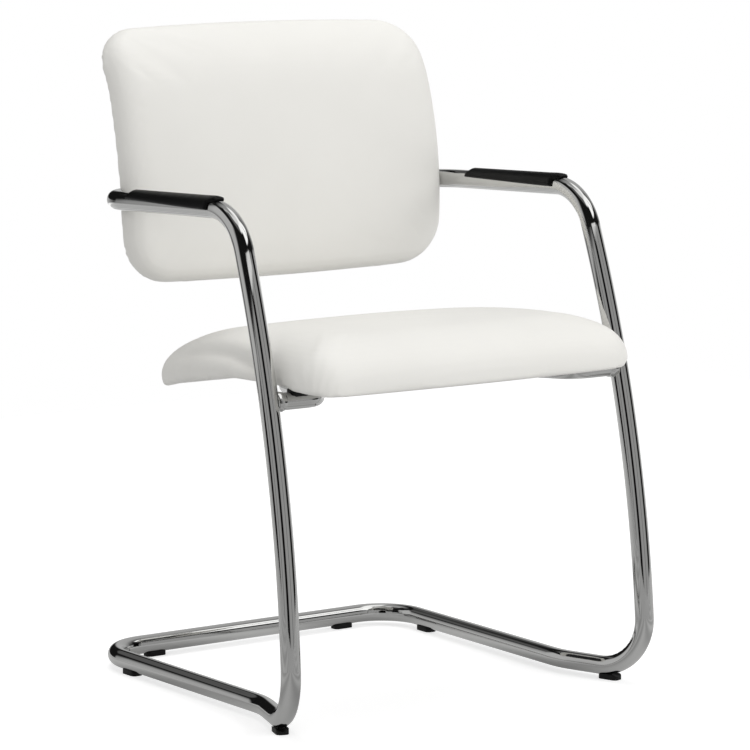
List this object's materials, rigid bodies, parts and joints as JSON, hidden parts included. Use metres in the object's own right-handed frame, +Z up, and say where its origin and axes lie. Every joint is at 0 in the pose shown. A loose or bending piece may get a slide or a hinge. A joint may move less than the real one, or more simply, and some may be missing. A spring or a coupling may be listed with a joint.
{
  "type": "sled base visitor chair",
  "caption": "Visitor chair on a bent chrome tube sled frame, with black arm pads and a white padded seat and back.",
  "frame": {"origin": "on the floor, below the middle of the chair's outer box", "axes": "+Z up, -Y towards the front where the sitter's knees are, X across the chair"},
  "size_m": [0.5852, 0.5564, 0.8606],
  "materials": {
    "chrome_tube": "polished",
    "steel_fixings": "zinc plated",
    "leatherette": "soft satin grain",
    "foam": "matt open cell foam",
    "plywood": "raw",
    "lining_cloth": "matt",
    "black_plastic": "satin"
  },
  "bodies": {
    "root": {"frame_tube": "chrome_tube", "frame_joint_sleeve": "steel_fixings", "seat_carrier": "chrome_tube", "glide_front_right": "black_plastic", "glide_front_left": "black_plastic", "glide_side_right": "black_plastic", "glide_side_left": "black_plastic", "glide_rear_right": "black_plastic", "glide_rear_left": "black_plastic", "arm_pad_right": "black_plastic", "arm_pad_left": "black_plastic", "seat_cover": "leatherette", "seat_foam": "foam", "seat_shell": "plywood", "seat_lining": "lining_cloth", "seat_tee_nut_front_right": "steel_fixings", "seat_spacer_front_right": "black_plastic", "seat_screw_front_right": "steel_fixings", "seat_tee_nut_front_left": "steel_fixings", "seat_spacer_front_left": "black_plastic", "seat_screw_front_left": "steel_fixings", "seat_tee_nut_rear_right": "steel_fixings", "seat_spacer_rear_right": "black_plastic", "seat_screw_rear_right": "steel_fixings", "seat_tee_nut_rear_left": "steel_fixings", "seat_spacer_rear_left": "black_plastic", "seat_screw_rear_left": "steel_fixings", "back_cover": "leatherette", "back_foam": "foam", "back_shell": "plywood", "back_rear_panel": "leatherette", "back_tee_nut_upper_right": "steel_fixings", "back_spacer_upper_right": "black_plastic", "back_screw_upper_right": "steel_fixings", "back_tee_nut_lower_right": "steel_fixings", "back_spacer_lower_right": "black_plastic", "back_screw_lower_right": "steel_fixings", "back_tee_nut_upper_left": "steel_fixings", "back_spacer_upper_left": "black_plastic", "back_screw_upper_left": "steel_fixings", "back_tee_nut_lower_left": "steel_fixings", "back_spacer_lower_left": "black_plastic", "back_screw_lower_left": "steel_fixings", "back_bracket_right": "chrome_tube", "back_bracket_left": "chrome_tube"}
  },
  "joints": []
}
